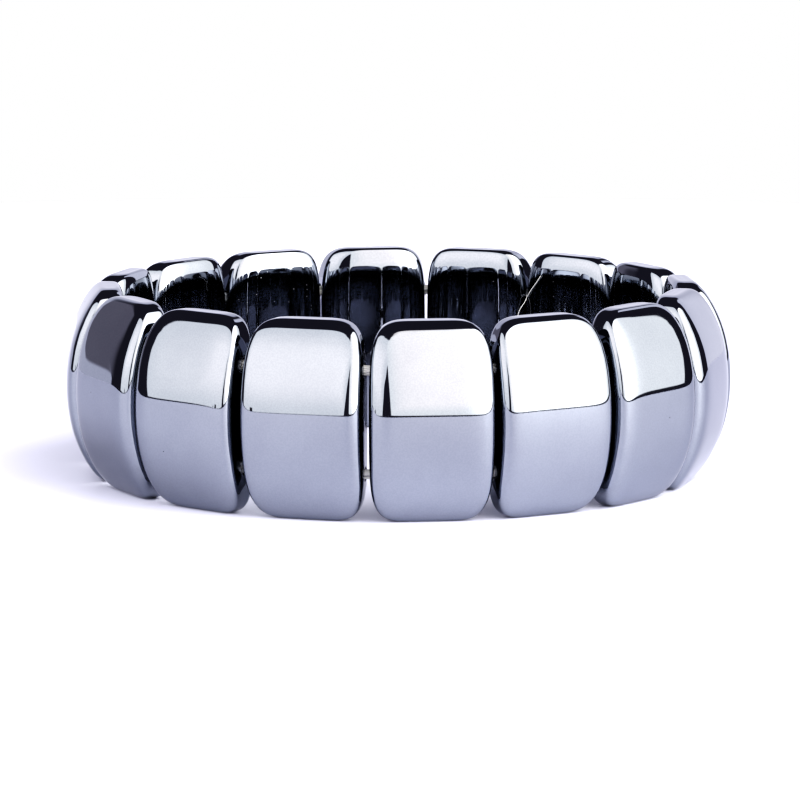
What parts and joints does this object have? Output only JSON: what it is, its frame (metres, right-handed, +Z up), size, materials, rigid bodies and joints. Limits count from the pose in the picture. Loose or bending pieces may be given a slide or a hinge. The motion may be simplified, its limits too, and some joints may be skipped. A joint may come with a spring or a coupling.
{
  "type": "hematite bead stretch bracelet",
  "caption": "Stretch bracelet of tall domed rectangular polished hematite beads, each drilled twice and threaded on two parallel white elastics, standing on its bead ends.",
  "frame": {"origin": "middle of the ring of beads, on the surface that the bead ends rest on", "axes": "+Z up along the ring's axis, -Y towards the viewer of the picture, +X to the viewer's right"},
  "size_m": [0.0697, 0.0693, 0.02],
  "materials": {
    "hematite": "polished",
    "elastic": "satin"
  },
  "bodies": {
    "root": {"bead_01": "hematite", "bead_02": "hematite", "bead_03": "hematite", "bead_04": "hematite", "bead_05": "hematite", "bead_06": "hematite", "bead_07": "hematite", "bead_08": "hematite", "bead_09": "hematite", "bead_10": "hematite", "bead_11": "hematite", "bead_12": "hematite", "bead_13": "hematite", "bead_14": "hematite", "bead_15": "hematite", "bead_16": "hematite", "upper_elastic": "elastic", "lower_elastic": "elastic"}
  },
  "joints": []
}
